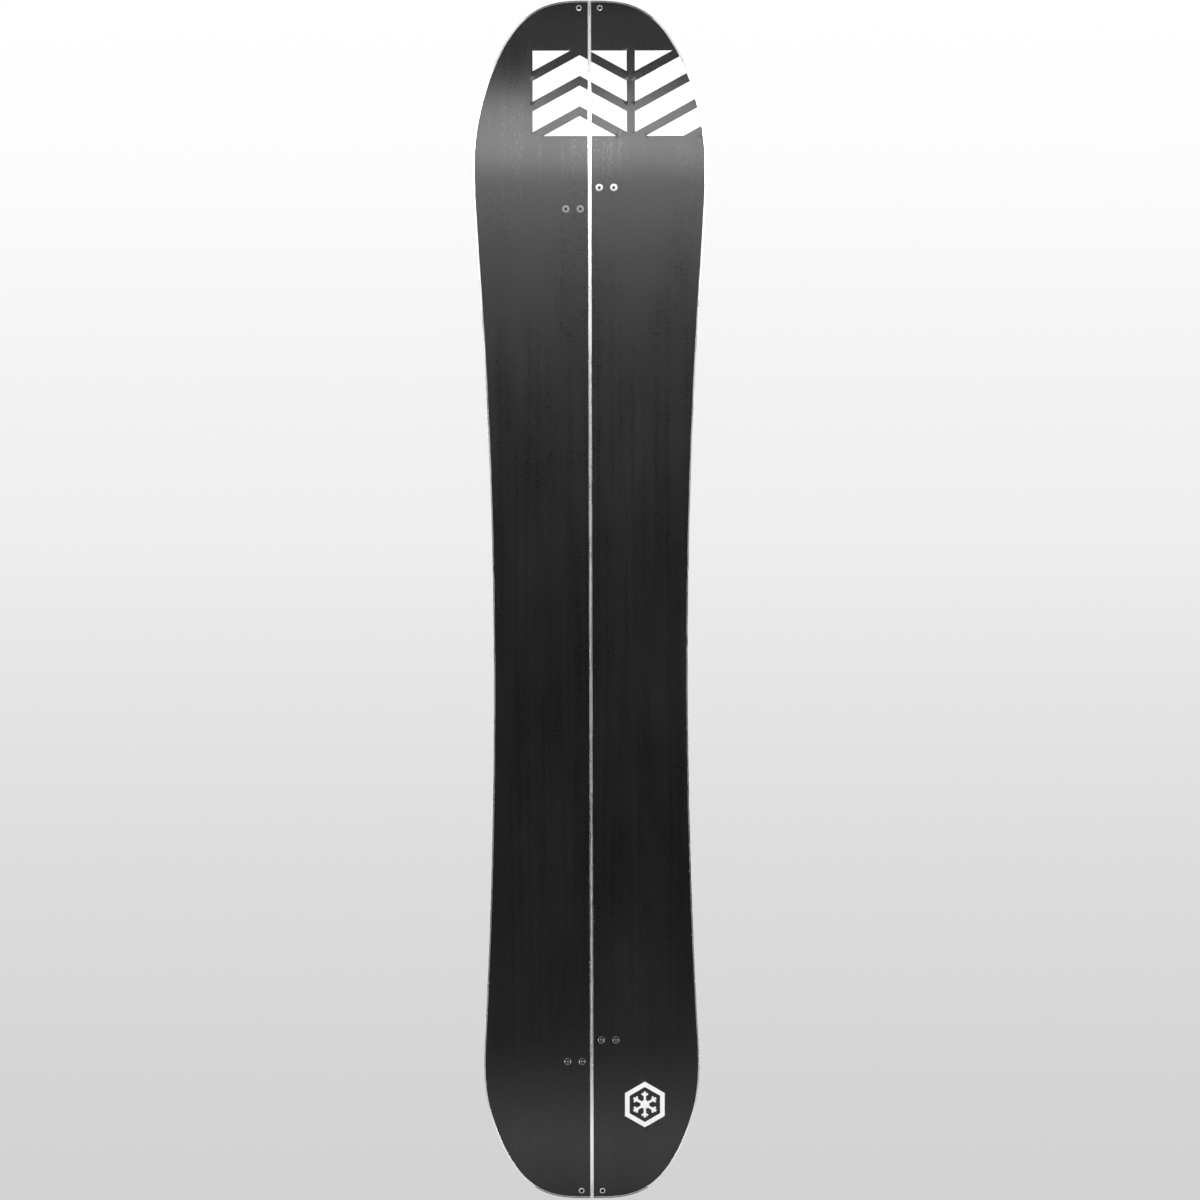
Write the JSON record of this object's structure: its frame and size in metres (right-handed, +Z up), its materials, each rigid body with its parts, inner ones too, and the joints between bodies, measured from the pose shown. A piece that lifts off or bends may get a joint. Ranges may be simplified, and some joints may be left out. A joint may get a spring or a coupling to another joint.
{
  "type": "splitboard",
  "caption": "Snowboard sawn lengthwise into two ski halves that hinge at the seam and lock with hooks and end clips; steel edges, black base, deck inserts.",
  "frame": {"origin": "on the seam plane, midway between nose and tail, at the height of the base's two contact lines", "axes": "+X to the board's right half, +Y from the nose to the tail, +Z up out of the deck"},
  "size_m": [0.3054, 1.57, 0.0575],
  "materials": {
    "base_black": "sintered, fine lengthwise structure",
    "base_white": "sintered white",
    "edge_steel": "ground",
    "glass_laminate": "cured resin",
    "core_wood": "laminated strips",
    "abs_black": "milled",
    "topsheet": "satin",
    "hook_alloy": "black anodised",
    "screw_steel": "stainless",
    "nut_steel": "zinc plated",
    "washer_nylon": "moulded"
  },
  "bodies": {
    "left_half": {"left_base": "base_black", "left_outer_edge": "edge_steel", "left_inner_edge": "edge_steel", "left_lower_laminate": "glass_laminate", "left_core": "core_wood", "left_outer_sidewall": "abs_black", "left_inner_sidewall": "abs_black", "left_tip_fill": "abs_black", "left_tail_fill": "abs_black", "left_upper_laminate": "glass_laminate", "left_topsheet": "topsheet", "left_nose_inlay": "base_white", "left_nose_hook": "hook_alloy", "left_tail_hook": "hook_alloy", "left_hook_screws": "screw_steel", "left_hook_nuts": "nut_steel", "left_ride_inserts": "nut_steel", "left_tour_inserts": "nut_steel", "left_riser_inserts": "nut_steel", "nose_latch_screw": "screw_steel", "tail_latch_screw": "screw_steel", "nose_latch_washer": "washer_nylon", "tail_latch_washer": "washer_nylon", "latch_nuts": "nut_steel"},
    "right_half": {"right_base": "base_black", "right_outer_edge": "edge_steel", "right_inner_edge": "edge_steel", "right_lower_laminate": "glass_laminate", "right_core": "core_wood", "right_outer_sidewall": "abs_black", "right_inner_sidewall": "abs_black", "right_tip_fill": "abs_black", "right_tail_fill": "abs_black", "right_upper_laminate": "glass_laminate", "right_topsheet": "topsheet", "right_nose_inlay": "base_white", "right_tail_inlay": "base_white", "right_nose_hook": "hook_alloy", "right_tail_hook": "hook_alloy", "right_hook_screws": "screw_steel", "right_hook_nuts": "nut_steel", "right_ride_inserts": "nut_steel", "right_tour_inserts": "nut_steel", "right_riser_inserts": "nut_steel", "nose_post": "screw_steel", "tail_post": "screw_steel", "post_nuts": "nut_steel"},
    "nose_latch": {"nose_latch": "hook_alloy"},
    "tail_latch": {"tail_latch": "hook_alloy"}
  },
  "joints": [
    {"name": "fold", "type": "hinge", "parent": "left_half", "child": "right_half", "pos_m": [0, 0, 0], "axis": [0, 1, 0], "range_deg": [0, 25]},
    {"name": "nose_latch_swivel", "type": "hinge", "parent": "left_half", "child": "nose_latch", "pos_m": [-0.0137, -0.7738, 0.04981], "axis": [0, 0.3965, 0.918], "range_deg": [0, 150]},
    {"name": "tail_latch_swivel", "type": "hinge", "parent": "left_half", "child": "tail_latch", "pos_m": [-0.0137, 0.7738, 0.03849], "axis": [0, -0.3486, 0.9373], "range_deg": [-150, 0]}
  ],
  "couplings": [
    {"joint": "nose_latch_swivel", "follows": "fold", "ratio": 6},
    {"joint": "tail_latch_swivel", "follows": "fold", "ratio": -6}
  ]
}
